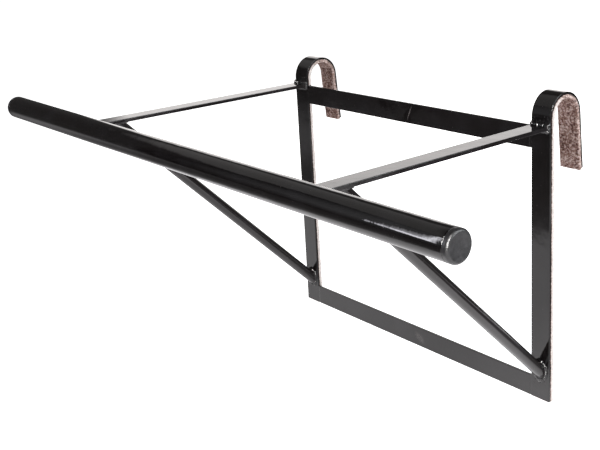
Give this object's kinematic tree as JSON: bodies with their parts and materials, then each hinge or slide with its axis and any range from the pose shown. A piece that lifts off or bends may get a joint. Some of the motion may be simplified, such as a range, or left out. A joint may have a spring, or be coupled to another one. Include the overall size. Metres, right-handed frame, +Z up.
{
  "type": "pull up bar",
  "caption": "Welded steel pull-up bar that hooks over a rung of gymnastic wall bars, with felt-lined hooks, flat arms and round braces.",
  "frame": {"origin": "on the centre line of the rung that the hooks sit on, midway between the two hooks", "axes": "+X along the bar and the rung, +Y towards the wall bars, +Z up"},
  "size_m": [1.086, 0.5488, 0.488],
  "materials": {
    "gloss_black_paint": "gloss black paint over steel, faint orange peel, fine scratches",
    "painted_weld": "rippled weld bead under gloss black paint",
    "recycled_felt": "mottled grey-brown recycled felt with loose fibres",
    "cap_plastic": "satin dark grey moulded plastic"
  },
  "bodies": {
    "root": {"pull_up_bar": "gloss_black_paint", "top_rail": "gloss_black_paint", "bottom_rail": "gloss_black_paint", "arm_left": "gloss_black_paint", "arm_right": "gloss_black_paint", "brace_left": "gloss_black_paint", "brace_right": "gloss_black_paint", "hook_upright_left": "gloss_black_paint", "hook_upright_right": "gloss_black_paint", "arm_frame_weld_left": "painted_weld", "arm_frame_weld_right": "painted_weld", "arm_bar_weld_left": "painted_weld", "arm_bar_weld_right": "painted_weld", "brace_foot_weld_left": "painted_weld", "brace_foot_weld_right": "painted_weld", "brace_head_weld_left": "painted_weld", "brace_head_weld_right": "painted_weld", "top_rail_weld_left": "painted_weld", "top_rail_weld_right": "painted_weld", "bottom_rail_weld_left": "painted_weld", "bottom_rail_weld_right": "painted_weld", "hook_felt_left": "recycled_felt", "hook_felt_right": "recycled_felt", "back_felt_left": "recycled_felt", "back_felt_right": "recycled_felt", "end_cap_left": "cap_plastic", "end_cap_right": "cap_plastic"}
  },
  "joints": []
}
